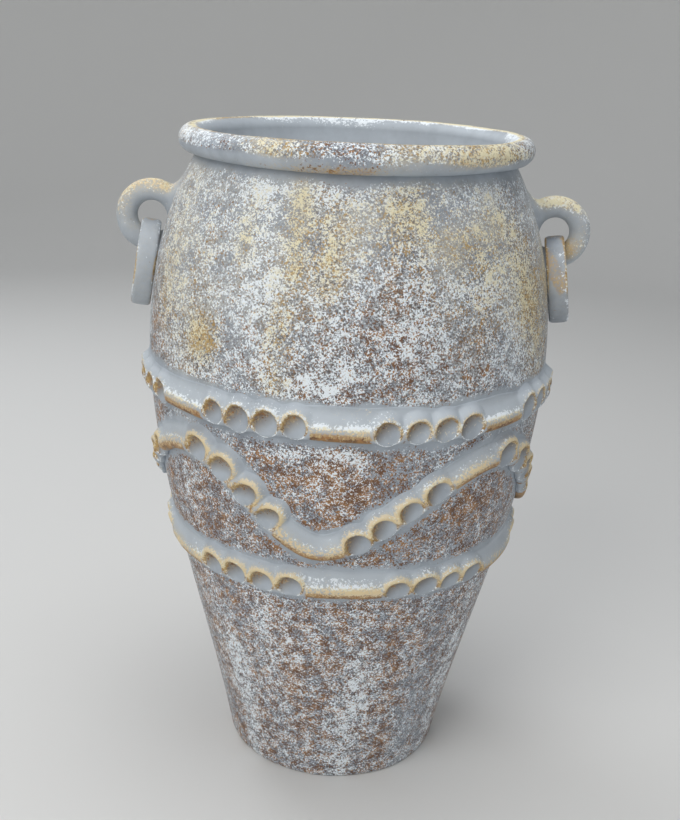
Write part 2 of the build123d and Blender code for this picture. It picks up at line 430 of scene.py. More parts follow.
# Wall, base and rim
def patches(places, degrees, level):
    """Summed amount of paint in patches, at angles in degrees and heights in millimetres."""
    total = 0.0
    for angle, height, round_spread, up_spread, amount in places:
        away = (degrees - angle + 180) % 360 - 180
        total = total + amount * np.exp(-((away / round_spread) ** 2) - ((level - height) / up_spread) ** 2)
    return total


def back_patches(seed, lowest, highest, amount):
    """Patches like those in front, on the sides and back that the front view doesn't show."""
    rng = np.random.default_rng(seed)
    places = []
    for _ in range(BACK_PATCH_COUNT):
        round_spread, up_spread = rng.uniform(5, 11), rng.uniform(12, 40)
        angle, height = rng.uniform(75, 285), rng.uniform(lowest, highest)
        places.append((angle, height, round_spread, up_spread, amount * rng.uniform(0.5, 1)))
    return tuple(places)


def wave_lip(angle):
    """Height of the wave's lip, which falls faster than it climbs."""
    turn = WAVE_COUNT * (angle - WAVE_PEAK_ANGLE)
    phase = turn + WAVE_SKEW * (1 - np.cos(turn)) / 2
    middle = (WAVE_PEAK_LIP + WAVE_TROUGH_LIP) / 2
    return middle + (WAVE_PEAK_LIP - middle) * np.cos(phase)


def wave_lean(angle):
    """Angle by which the wave's lip climbs along the wall."""
    step = 0.005
    rise = wave_lip(angle + step) - wave_lip(angle - step)
    height = wave_lip(angle)
    return np.arctan2(rise * np.sqrt(1 + outline_slope(height) ** 2), 2 * step * outline(height))


def bareness(angle, height):
    """1 where the wall is plain grey beside a band or under the rim, fading to 0 where it is sponged."""
    ragged = BARE_RAGGED * drift(3 * angle, 4 * height, BARE_EDGE_SEED)
    bare = smooth_step(wall_top - BARE_UNDER_RIM, wall_top - MM, height + ragged)
    wave_rise = (height - wave_lip(angle)) * np.cos(wave_lean(angle))
    rises = (
        (height - UPPER_LIP, BAND_HEIGHT), (height - LOWER_LIP, BAND_HEIGHT), (wave_rise, WAVE_BAND_HEIGHT),
    )
    for rise, band in rises:
        above = smooth_step(band + BARE_ABOVE_BAND, band - MM, rise + ragged)
        below = smooth_step(-BARE_BELOW_BAND, 0, rise + ragged)
        bare = np.maximum(bare, above * below)
    return bare


def wall_masks(angle, height):
    """Amounts of each paint on the wall's outer face."""
    degrees, level = angle / DEGREE, height / MM
    sponged = 1 - bareness(angle, height)
    white = np.interp(level, *WHITE_UP_WALL) + 0.05 * drift(2 * angle, height, WHITE_SEED)
    white = white + patches(WHITE_PATCHES, degrees, level)
    behind = back_patches(BACK_GOLD_SEED, lowest=400, highest=565, amount=0.8)
    gold = patches(GOLD_PATCHES + behind, degrees, level)
    rust = np.interp(level, *RUST_UP_WALL) + 0.05 * drift(2 * angle, height, RUST_SEED)
    rust = rust + patches(RUST_PATCHES, degrees, level) + 0.06 * gold
    gold = 0.6 * gold + 0.38 * smooth_step(300, 520, level) + 0.1 * drift(angle, height, GOLD_SEED)
    streaks = 0.015 * smooth_step(230, 200, level) * drift(5 * angle, height, STREAK_SEED)
    return {
        "white": (white + streaks) * sponged,
        "brown": (rust - streaks) * sponged,
        "gold": gold * sponged,
        "pale": 0.3 * (1 - sponged),
    }


def outer_masks(outside, angle, height):
    """The wall's paints, on the rows that lie outside alone."""
    return {layer: np.where(outside, amount, 0) for layer, amount in wall_masks(angle, height).items()}


def make_wall(name, low, high):
    """One ring of the wall: its outer face up, its inner face down, and the joints between."""
    on_base = low == base_top
    inner_low = low + INNER_CORNER if on_base else low
    outer = np.linspace(low, high, round((high - low) / WALL_ROW_STEP))
    inner = np.linspace(high, inner_low, round((high - inner_low) / INNER_ROW_STEP))
    radius = np.concatenate([outline(outer), outline(inner) - wall_thickness])
    height = np.concatenate([outer, inner])
    if on_base:
        radius = np.append(radius, outline(low) - wall_thickness - INNER_CORNER)
        height = np.append(height, low)
    across, level = np.meshgrid(ANGLES_ROUND, height)
    points = around_axis(radius[:, None] + wobble(across, level), across, level)
    outside = (np.arange(len(height)) < len(outer))[:, None]
    masks = outer_masks(outside, across, level)
    mouth = smooth_step(wall_top - MOUTH_PAINT_DEPTH, wall_top, level) * ~outside
    flakes = smooth_step(0.3, 1.2, drift(4 * across, level, MOUTH_SEED))
    masks["white"] = masks["white"] + mouth * 0.3 * flakes
    # Painted light: the whole inner face is painted paler, standing in for the light that reaches inside
    masks["pale"] = masks["pale"] + 0.5 * ~outside
    make_piece(name, points, masks, wall_paint, "jar", [name], sharp=True)


def make_base():
    """The base disc, from the middle of its underside round its edge to the middle of its floor."""
    foot = outline(0.0)
    turn = np.linspace(-np.pi / 2, 0, BASE_EDGE_ROWS)
    flat = np.linspace(BASE_HUB, foot - FOOT_EDGE, BASE_FLAT_ROWS)[:-1]
    side = np.linspace(FOOT_EDGE, base_top, BASE_SIDE_ROWS)[1:]
    floor = np.linspace(outline(base_top), BASE_HUB, BASE_FLOOR_ROWS)[1:]
    edge_radius = foot - FOOT_EDGE + FOOT_EDGE * np.cos(turn)
    edge_height = FOOT_EDGE + FOOT_EDGE * np.sin(turn)
    radius = np.concatenate([flat, edge_radius, outline(side), floor])
    height = np.concatenate([np.zeros_like(flat), edge_height, side, np.full_like(floor, base_top)])
    across, level = np.meshgrid(ANGLES_ROUND, height)
    points = around_axis(radius[:, None] * (1 + wobble(across, level) / foot), across, level)
    rows = np.arange(len(height))[:, None]
    outside = (rows >= len(flat) + 2) & (rows < len(height) - len(floor))
    masks = outer_masks(outside, across, level)
    make_piece("base_disc", points, masks, wall_paint, "jar", ["base_disc"], capped=True)


def rim_masks(turn):
    """Amounts of each paint on the rim, by the turn of its rows in degrees: 0 faces out and 90 up."""
    shape = (len(turn), STEPS_ROUND)
    ragged = turn + 8 * lumps(shape, (2, 7), RIM_SEED + 2)
    patchy = lumps(shape, (7, 14), RIM_SEED + 3)
    under = smooth_step(-5, -40, turn) * smooth_step(0.2, 1.4, lumps(shape, (8, 26), RIM_SEED + 4))
    flaking = turn + 17 * lumps(shape, (3, 5), RIM_SEED + 5)
    stains = lumps(shape, (6, 20), RIM_SEED + 6)
    rubbed = smooth_step(-1, 0.6, lumps(shape, (5, 9), RIM_SEED + 7))
    outside = smooth_step(-32, 5, ragged) * smooth_step(128, 92, turn)
    flakes = smooth_step(182, 122, flaking) * smooth_step(85, 105, turn)
    flakes = flakes * (0.72 + 0.28 * np.cos(ANGLES_ROUND - RIM_FLAKES_ANGLE))
    edge = hump(turn, 98, 16)
    gilded = patches(RIM_GOLD_PATCHES, ANGLES_ROUND / DEGREE, 0) + 0.2 * patchy
    return {
        "white": outside * (0.62 + 0.06 * patchy) + 0.85 * flakes * smooth_step(-0.7, 0.2, patchy),
        "brown": outside * (0.32 + 0.09 * stains) + 0.42 * edge + 0.4 * under,
        "gold": outside * (0.5 + gilded) + 0.6 * edge + 0.4 * under,
        "cream": outside * (0.5 * smooth_step(0, 0.6, gilded) + 0.1 * edge),
        "ochre": 0.7 * edge * rubbed + 0.5 * under,
        # The rim's inner side is painted paler, like the wall's inner face: painted light
        "pale": 0.3 * (1 - outside) + 0.22 * smooth_step(105, 150, turn),
    }


def make_rim():
    """The rolled rim: a round coil on the wall's top, flush with the wall inside."""
    low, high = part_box("rim_roll")
    roll = (high[2] - low[2]) / 2
    middle_radius = high[0] - roll
    turn = np.linspace(-np.pi / 2, np.pi, RIM_ROWS)
    fullness = 1 + 0.02 * lumps((1, STEPS_ROUND), (0, 14), RIM_SEED)
    fullness = fullness + 0.012 * lumps((RIM_ROWS, STEPS_ROUND), (4, 7), RIM_SEED + 1)
    inside = np.full((1, STEPS_ROUND), outline(wall_top) - wall_thickness)
    seat = np.full((1, STEPS_ROUND), low[2])
    radius = middle_radius + roll * np.cos(turn)[:, None] * fullness
    radius = np.concatenate([radius, inside + RIM_SEAT_SLOPE, inside]) + wobble(ANGLES_ROUND, wall_top)
    height = low[2] + roll + roll * np.sin(turn)[:, None] * fullness
    height = np.maximum(np.concatenate([height, seat + RIM_SEAT_RISE, seat]), low[2])
    points = around_axis(radius, ANGLES_ROUND, height)
    masks = rim_masks(np.append(turn, RIM_SEAT_TURNS)[:, None] / DEGREE)
    make_piece("rim_roll", points, masks, rim_paint, "jar", ["rim_roll"], sharp=True)


# Bands
def lip_line(lip_height):
    """A band's lip in even steps: angle, height, lean, length so far, whole length, and length by angle."""
    fine = np.linspace(-np.pi, np.pi, LIP_SAMPLES)
    height = lip_height(fine)
    middle = (height[1:] + height[:-1]) / 2
    run = np.diff(fine) * outline(middle)
    climb = np.diff(height) * np.sqrt(1 + outline_slope(middle) ** 2)
    length = np.concatenate([[0], np.cumsum(np.hypot(run, climb))])
    count = round(length[-1] / BAND_STEP)
    along = np.arange(count) * length[-1] / count
    angle = np.interp(along, length, fine)
    lean = np.interp(along, (length[1:] + length[:-1]) / 2, np.arctan2(climb, run))

    def reach(turned):
        return np.interp((turned + np.pi) % (2 * np.pi) - np.pi, fine, length)

    return angle, lip_height(angle), lean, along, length[-1], reach


def press_places(reach, group_angles, pitch, press_sizes, lip_height, seed):
    """Length along the lip, rise above it and half sizes of each press, a little uneven as thumbs are."""
    rng = np.random.default_rng(seed)
    places = []
    for group, group_angle in enumerate(group_angles):
        size = press_sizes[group % len(press_sizes)]
        radius = outline(lip_height(group_angle))
        for press in range(PRESSES_IN_GROUP):
            offset = (press - (PRESSES_IN_GROUP - 1) / 2) * pitch * radius / (radius + PRESS_STAND_OFF)
            place = reach(group_angle) + offset + rng.normal(0, PRESS_SHIFT)
            swell = 1 + rng.normal(0, PRESS_SWELL)
            rise = size[0] + rng.normal(0, PRESS_LIFT)
            places.append((place, rise, size[1] * swell, size[2] * swell))
    return places


def concave_fall(share):
    """1 at the crest, falling to 0 along a hollow curve."""
    return (1 - share) ** FALL_POWER * (1 + FALL_POWER * share)


def plain_section(rise, height):
    """Stand-off of a band between presses: a full round nose under a feathered face."""
    below = np.clip((NOSE_RISE - rise) / NOSE_RISE, 0, 1)
    above = np.clip((rise - NOSE_RISE) / (height - NOSE_RISE), 0, 1)
    nose = (1 - below**NOSE_ROUNDNESS) ** (1 / NOSE_ROUNDNESS)
    return BAND_STAND_OFF * np.where(rise < NOSE_RISE, nose, concave_fall(above))


def press_arch(away, press, margin):
    """How far a press reaches up and down from its middle, with a margin round it."""
    _, _, wide, tall = press
    across = np.clip(away / (wide + margin), -1, 1)
    return (tall + margin) * np.sqrt(1 - across**2)


def press_lie(up, away, press):
    """Where points lie to a press: share of the way to its edge, way beyond it, facing up, and shade."""
    _, rise, wide, tall = press
    across, over = away / wide, (up - rise) / tall
    share = np.hypot(across, over)
    off_middle = np.maximum(share, 0.01)
    beyond = (share - 1) * np.hypot(wide * across, tall * over) / off_middle
    shaded = PRESS_TILT_WAY[1] * over + PRESS_TILT_WAY[0] * across
    return share, beyond, over / off_middle, shaded


def press_crown(facing):
    return PRESS_CROWN * (1 + PRESS_CROWN_LIFT * facing)


def press_rim(beyond, facing):
    """Stand-off of the clay that is squeezed up round a press."""
    fall = np.clip((beyond - PRESS_CROWN_FLAT) / PRESS_CROWN_FALL, 0, 1)
    return press_crown(facing) * concave_fall(fall)


def press_dish(share, facing, shaded):
    """Stand-off of the hollow that a press leaves, with its tilted floor."""
    floor = PRESS_FLOOR - PRESS_TILT * shaded
    depth = press_crown(facing) + PRESS_DISH_OVERLAP - floor
    return floor + depth * share.clip(0, PRESS_DISH_LIMIT) ** (PRESS_DISH_POWER + facing)


def press_marks(share, beyond, facing, shaded, gilding):
    """Where paint gathers on a press: its dish, its rim, the rim's top, foot and cusps, and its shade."""
    thick = np.interp(facing, (-0.6, 0.6), (0.7 * MM, 1.8 * MM + gilding * MM))
    ring = hump(beyond, 0.5 * thick, thick)
    fringe = 0.8 * hump(beyond, 0, 1.1 * MM) * smooth_step(-0.4, 0.3, facing)
    side = ring * smooth_step(0.8, 0.3, abs(facing + 0.1))
    return {
        "dished": smooth_step(1.0, 0.86, share),
        "rimmed": ring,
        "tops": ring * smooth_step(-0.3, 0.4, facing),
        "lows": ring * smooth_step(0.1, -0.6, facing),
        "cusps": np.maximum(side, fringe),
        # The shaded side of the dish takes brown stain, and painted shade as well
        "shaded_side": smooth_step(-0.55, 0.75, shaded) * smooth_step(1.04, 0.94, share),
    }


def band_masks(rise, nose, field, in_smear, marks, feather_white, crest, gilding, seed):
    """Amounts of each paint on a band, by the rise over its lip and the marks of its presses."""
    dished, rimmed, tops, lows, cusps, shaded_side = (marks[mark] for mark in PRESS_MARKS)
    crest_line = nose * hump(rise, 13 * MM, 2.6 * MM)
    warm = nose * hump(rise, 10.5 * MM, 3.2 * MM + 1.2 * MM * gilding)
    stained = nose * hump(rise, 6 * MM, 3.4 * MM)
    lower = nose * smooth_step(6.5 * MM, 2.5 * MM, rise)
    feather = (1 - dished) * smooth_step(10 * MM, 14 * MM, rise) * smooth_step(0.3 * MM, 1.5 * MM, field)
    smeared = (1 - dished) * smooth_step(9 * MM, 13 * MM, rise) * in_smear
    patchy = lumps(field.shape, (5, 26), seed)
    return {
        # The dishes are painted a little darker: painted shade
        "pale": 0.36 + 0.27 * smeared - 0.06 * dished,
        "ochre": 0.95 * stained + 0.75 * cusps + 0.4 * shaded_side**2,
        "cream": crest * np.maximum(warm, tops) + 0.34 * rimmed - 0.12 * cusps + 0.06 * patchy,
        "brown": 0.85 * lower + 0.35 * stained + 0.62 * cusps + 0.5 * shaded_side**2,
        "white": (
            feather * (feather_white + 0.14 * patchy) + (0.55 - 0.25 * gilding) * crest_line
            + (0.35 - 0.15 * gilding) * rimmed + 0.4 * lows
        ),
        "gold": np.maximum(warm, 0.6 * cusps) + (0.25 + 0.55 * gilding) * tops + 0.3 * shaded_side + 0.4 * lower,
        # Painted shade: dark brown on the shaded side of each dish and under the nose
        "painted_shade": 0.85 * shaded_side + 0.3 * lower,
    }


def make_band(name, lip_height, height, group_angles, pitch, press_sizes, seed, feather_white, crest):
    """An applied band: a smeared upper edge, a round nose, an undercut lip and its thumb presses."""
    angle, lip, lean, along, length, reach = lip_line(lip_height)
    columns = len(along)
    presses = press_places(reach, group_angles, pitch, press_sizes, lip_height, seed)
    aways = [(along - press[0] + length / 2) % length - length / 2 for press in presses]
    windows = [np.flatnonzero(abs(away) < PRESS_WINDOW) for away in aways]
    gilding = smooth_step(0.4, 0.7, crest)

    wander = BAND_WANDER * lumps_along(columns, 30, seed + 1)
    low = wander
    near_press = np.zeros(columns)
    for press, away in zip(presses, aways):
        low = np.minimum(low, press[1] - press_arch(away, press, PRESS_RIM))
        near_press = np.maximum(near_press, smooth_step(press[2] + PRESS_MARGIN, press[2], abs(away)))
    low = blurred(low[:, None], (0.8, 0))[:, 0]
    top = height + BAND_OVERRUN
    up = low + (top - low) * np.linspace(0, 1, BAND_ROWS)[:, None] ** BAND_ROW_CROWDING
    rise = up - wander

    fullness = 1 + 0.05 * lumps_along(columns, 45, seed + 2)
    field = fullness * plain_section(rise, height)
    smear = height + (1.2 + 1.1 * lumps_along(columns, 16, seed + 3)) * MM
    for press, away, window in zip(presses, aways, windows):
        _, beyond, facing, _ = press_lie(up[:, window], away[window], press)
        field[:, window] = soft_max(field[:, window], press_rim(beyond, facing), PRESS_RIM_BLEND)
        bulge = press[1] + press_arch(away[window], press, PRESS_MARGIN)
        smear[window] = soft_max(smear[window], bulge, PRESS_SMEAR_BLEND)
    marks = {mark: np.zeros_like(field) for mark in PRESS_MARKS}
    for press, away, window in zip(presses, aways, windows):
        share, beyond, facing, shaded = press_lie(up[:, window], away[window], press)
        dented = soft_min(field[:, window], press_dish(share, facing, shaded), PRESS_DISH_BLEND)
        field[:, window] = np.where(share < PRESS_DISH_REACH, dented, field[:, window])
        for mark, amount in press_marks(share, beyond, facing, shaded, gilding).items():
            marks[mark][:, window] = np.maximum(marks[mark][:, window], amount)
    from_lip = np.clip((up - low) / BAND_LIP_ROUNDING, 0, 1)
    field *= 0.5 + 0.5 * np.sqrt(1 - (1 - from_lip) ** 2)

    ledge = BAND_LEDGE * smooth_step(smear + BAND_LEDGE_SLOPE, smear - BAND_LEDGE_SLOPE, up)
    lumpy = lumps(field.shape, (5, 9), seed + 4) * smooth_step(0.4 * MM, 2 * MM, field)
    lumpy = lumpy * (1 - marks["dished"])
    stand_off = field + ledge + BAND_LUMPS * lumpy
    stand_off = stand_off - BAND_EDGE_SINK * (1 - smooth_step(0, BAND_EDGE_FADE, stand_off))

    # Rise and stand-off of the rows behind the band, from its upper edge down to the undercut lip
    under = (
        (top - MM, BAND_BACK),
        (low + 2.5 * MM, BAND_BACK),
        (low + 1.4 * MM, -0.4 * MM),
        (low + 0.5 * MM, 0.3 * stand_off[0]),
    )
    ups = np.concatenate([up] + [np.broadcast_to(level, (1, columns)) for level, _ in under])
    offs = np.concatenate([stand_off] + [np.broadcast_to(off, (1, columns)) for _, off in under])
    points_angle = angle - np.sin(lean) * ups / outline(lip)
    points_height = lip + np.cos(lean) * ups / np.sqrt(1 + outline_slope(lip) ** 2)
    points = on_wall(points_angle, points_height, offs)

    in_smear = smooth_step(smear, smear - 4 * MM, up)
    masks = band_masks(
        rise, 1 - near_press, field, in_smear, marks, feather_white, crest, gilding, seed + 5,
    )
    for layer, amount in masks.items():
        masks[layer] = np.concatenate([amount, np.repeat(amount[:1], len(under), axis=0)])
    make_piece(name, points, masks, band_paint, "jar", [name])


def level_lip(height):
    return lambda angle: np.full_like(np.asarray(angle, float), height)


def group_middles(count, turn):
    return [(group + 0.5) * 2 * np.pi / count + turn for group in range(count)]


def wave_group_middles():
    middles = []
    for wave in range(WAVE_COUNT):
        peak = WAVE_PEAK_ANGLE + wave * 2 * np.pi / WAVE_COUNT
        middles += [peak + WAVE_FALLING_GROUP, peak + WAVE_CLIMBING_GROUP]
    return middles


def make_bands():
    make_band(
        "upper_band", level_lip(UPPER_LIP), BAND_HEIGHT, group_middles(UPPER_GROUPS, UPPER_TURN),
        UPPER_PITCH, UPPER_PRESSES, UPPER_BAND_SEED, feather_white=0.12, crest=0.42,
    )
    make_band(
        "lower_band", level_lip(LOWER_LIP), BAND_HEIGHT, group_middles(LOWER_GROUPS, LOWER_TURN),
        LOWER_PITCH, LOWER_PRESSES, LOWER_BAND_SEED, feather_white=0.2, crest=0.66,
    )
    make_band(
        "wave_band", wave_lip, WAVE_BAND_HEIGHT, wave_group_middles(),
        WAVE_PITCH, WAVE_PRESSES, WAVE_BAND_SEED, feather_white=0.17, crest=0.7,
    )


# Lugs
def make_lug(name, joint, gilding):
    """A looped bar whose two roots flare out and run into the shoulder."""
    hinge = next(row for row in frame["joints"] if row["name"] == joint)
    side = np.sign(hinge["pos_m"][0])
    middle_out, middle_up = abs(hinge["pos_m"][0]), hinge["pos_m"][2]
    lean = -np.arctan(outline_slope(middle_up))
    to_wall = (middle_out - outline(middle_up)) * np.cos(lean)
    foot_up = middle_up - to_wall * np.sin(lean)
    around = np.linspace(0, 2 * np.pi, LUG_STEPS_ROUND, endpoint=False)

    def bar_row(turn):
        """Section of the bar, round the eye's edge at a turn seen from the front, 0 pointing outwards."""
        out = np.cos(around) * LUG_BAR + LUG_HOLE + LUG_BAR
        sideways = side * (middle_out + out * np.cos(turn))
        return np.stack([sideways, LUG_BAR * np.sin(around), middle_up + out * np.sin(turn)], axis=-1)

    def wall_spot(rise, across, sink):
        height = foot_up + rise * np.cos(lean)
        return on_wall(side * (np.pi / 2 + across / outline(height)), height, -sink)

    def root_rows(turn, foot, direction):
        """Rows that leave the bar's end and run out along the shoulder."""
        start = bar_row(turn)
        heading = direction * np.array([-side * np.sin(turn), 0, np.cos(turn)])
        centre, tall, wide = foot
        rise = direction * (centre + tall * np.cos(around))
        across = wide * np.sin(around)
        end = wall_spot(rise, across, LUG_ROOT_SINK)
        further_rise = rise + direction * MM * np.cos(around)
        beyond = wall_spot(further_rise, across + MM * np.sin(around), LUG_ROOT_LEAVING_SINK)
        leaving = (beyond - end) / np.linalg.norm(beyond - end, axis=1)[:, None]
        rows = []
        for share in np.linspace(0, 1, LUG_ROOT_ROWS)[1:]:
            rows.append(
                start * (2 * share**3 - 3 * share**2 + 1) + end * (3 * share**2 - 2 * share**3)
                + heading * LUG_ROOT_PULL * (share**3 - 2 * share**2 + share)
                + leaving * LUG_ROOT_PULL * (share**3 - share**2)
            )
        rows.append(wall_spot(rise * LUG_ROOT_CLOSING, across * LUG_ROOT_CLOSING, LUG_ROOT_DEPTH))
        return rows

    turns = np.linspace(LUG_UPPER_TURN, LUG_LOWER_TURN, LUG_BAR_ROWS)
    upper = root_rows(LUG_UPPER_TURN, LUG_UPPER_FOOT, 1)[::-1]
    lower = root_rows(LUG_LOWER_TURN, LUG_LOWER_FOOT, -1)
    points = np.array(upper + [bar_row(turn) for turn in turns] + lower)
    turn = np.concatenate([np.full(len(upper), turns[0]), turns, np.full(len(lower), turns[-1])])[:, None]
    fading = (np.linspace(0, 1, len(upper)), np.ones(len(turns)), np.linspace(1, 0, len(lower)))
    on_bar = np.concatenate(fading)[:, None]
    outer = (1 + np.cos(around)) / 2
    facing = (side * np.cos(turn) * np.cos(around), np.sin(around), np.sin(turn) * np.cos(around))
    away = np.stack(np.broadcast_arrays(*facing), axis=-1)
    uneven = lumps(points.shape[:2], (6, 6), LUG_SHAPE_SEED + int(side)) * outer
    points = points + away * (LUG_UNEVEN * uneven * on_bar)[..., None]
    patchy = lumps(points.shape[:2], (7, 8), LUG_PAINT_SEED + int(side))
    crown = smooth_step(-0.3, 0.9, away[..., 2] + 0.2 * patchy) * on_bar
    rubbed = smooth_step(0.2, 0.9, outer) * smooth_step(-60 * DEGREE, 20 * DEGREE, turn) * on_bar
    masks = {
        "gold": 0.1 + 0.9 * crown,
        "cream": (0.2 + 0.1 * patchy) * crown * gilding + 0.2 * rubbed,
        "white": 0.3 * crown + (1 - gilding) * 0.7 * rubbed + 0.12 * patchy * rubbed,
        "brown": 0.2 * crown,
        "ochre": (0.35 + 0.15 * patchy) * crown,
        "pale": 0.35,
    }
    make_piece(name, points, masks, lug_paint, "jar", [name], capped=True)


# Rings
def strip_section(half_thickness, half_width):
    """Even points round a strip whose worn edges are rounded off."""
    turn = np.linspace(0, 2 * np.pi, RING_SECTION_SAMPLES)
    across = np.sign(np.cos(turn)) * abs(np.cos(turn)) ** (2 / RING_ROUNDNESS)
    along = np.sign(np.sin(turn)) * abs(np.sin(turn)) ** (2 / RING_ROUNDNESS)
    loop = np.stack([half_thickness * across, half_width * along], axis=-1)
    length = np.concatenate([[0], np.cumsum(np.linalg.norm(np.diff(loop, axis=0), axis=1))])
    even = np.linspace(0, length[-1], RING_SECTION_POINTS, endpoint=False)
    return np.stack([np.interp(even, length, loop[:, axis]) for axis in range(2)], axis=-1)


def make_ring(name, seed, paleness):
    """A flat clay strip bent round and closed, a little worn and uneven."""
    corners, _ = node_points(name)
    middle = (corners.min(axis=0) + corners.max(axis=0)) / 2
    axis = np.linalg.svd(corners - middle, full_matrices=False)[2][2]
    first = np.cross(axis, (0, 0, 1))
    first /= np.linalg.norm(first)
    second = np.cross(axis, first)
    out = np.hypot((corners - middle) @ first, (corners - middle) @ second)
    half_width = abs((corners - middle) @ axis).max()
    half_thickness = (out.max() - out.min()) / 2
    section = strip_section(half_thickness, half_width)
    turn = np.linspace(0, 2 * np.pi, RING_STEPS_ROUND, endpoint=False)
    shape = (len(section), RING_STEPS_ROUND)
    shrink = 1 - RING_UNEVEN * np.clip(lumps(shape, (6, 14), seed), 0, 2)
    across = (out.max() + out.min()) / 2 + section[:, :1] * shrink
    along = section[:, 1:] * shrink
    points = (
        middle + (across * np.cos(turn))[..., None] * first + (across * np.sin(turn))[..., None] * second
        + along[..., None] * axis
    )
    corner = smooth_step(0.72, 0.95, abs(section[:, 1:]) / half_width)
    patchy = lumps(shape, (5, 14), seed + 2)
    worn = corner * smooth_step(-0.6, 0.8, patchy)
    masks = {
        "gold": 0.2 + 0.5 * worn,
        "ochre": 0.7 * worn + 0.5 * smooth_step(0.7, 1.9, patchy),
        "pale": paleness,
        "brown": 0.35 * worn,
        "white": 0.3 * smooth_step(0.6, 1.6, lumps(shape, (4, 8), seed + 3)) + 0.35 * corner,
        "cream": 0.3 * corner * smooth_step(0, 1, patchy),
    }
    make_piece(name, points, masks, ring_paint, name, [name])


# Paint
def add_node(tree, kind, inputs, **settings):
    """A shader node, with a link or a value in each of the named inputs."""
    node = tree.nodes.new(kind)
    for setting, value in settings.items():
        setattr(node, setting, value)
    for socket, value in inputs.items():
        if isinstance(value, bpy.types.NodeSocket):
            tree.links.new(value, node.inputs[socket])
        else:
            node.inputs[socket].default_value = value
    return node


def noise(tree, place, size, detail, roughness, seed, swirl=0.0):
    """Random grain whose lumps are about the given size, drawn out to threads by a swirl."""
    inputs = {"Vector": place, "Scale": 1 / size, "Detail": detail, "Roughness": roughness, "W": seed}
    inputs["Distortion"] = swirl
    return add_node(tree, "ShaderNodeTexNoise", inputs, noise_dimensions="4D").outputs["Fac"]


def combined(tree, operation, first, second, third=0.0):
    return add_node(tree, "ShaderNodeMath", {0: first, 1: second, 2: third}, operation=operation).outputs[0]


def between(tree, value, low, high):
    """0 at one value, 1 at another and smooth between them."""
    inputs = {"Value": value, "From Min": low, "From Max": high}
    return add_node(tree, "ShaderNodeMapRange", inputs, interpolation_type="SMOOTHSTEP").outputs[0]


def mix(tree, factor, first, second):
    """A colour between two, each a link or three numbers."""
    inputs = {0: factor}
    for socket, colour in ((6, first), (7, second)):
        inputs[socket] = (*colour, 1) if isinstance(colour, tuple) else colour
    return add_node(tree, "ShaderNodeMix", inputs, data_type="RGBA").outputs[2]


def amount_of(tree, layer):
    """How much of a layer of paint the piece's own mask asks for."""
    return add_node(tree, "ShaderNodeAttribute", {}, attribute_name=layer).outputs["Fac"]


def weighed(tree, *parts):
    """Sum of values, each with its weight."""
    total = 0.0
    for value, weight in parts:
        total = combined(tree, "MULTIPLY_ADD", value, weight, total)
    return total


def fleck_height(tree, level, clumps, grain):
    """Above 0 where flakes lie: nowhere at level 0, nearly all over at level 1, gathered in clumps."""
    gathered = combined(tree, "MULTIPLY", level, combined(tree, "MULTIPLY_ADD", clumps, 2.4, -0.2))
    return combined(tree, "ADD", grain, combined(tree, "MULTIPLY_ADD", gathered, 0.36, -0.72))


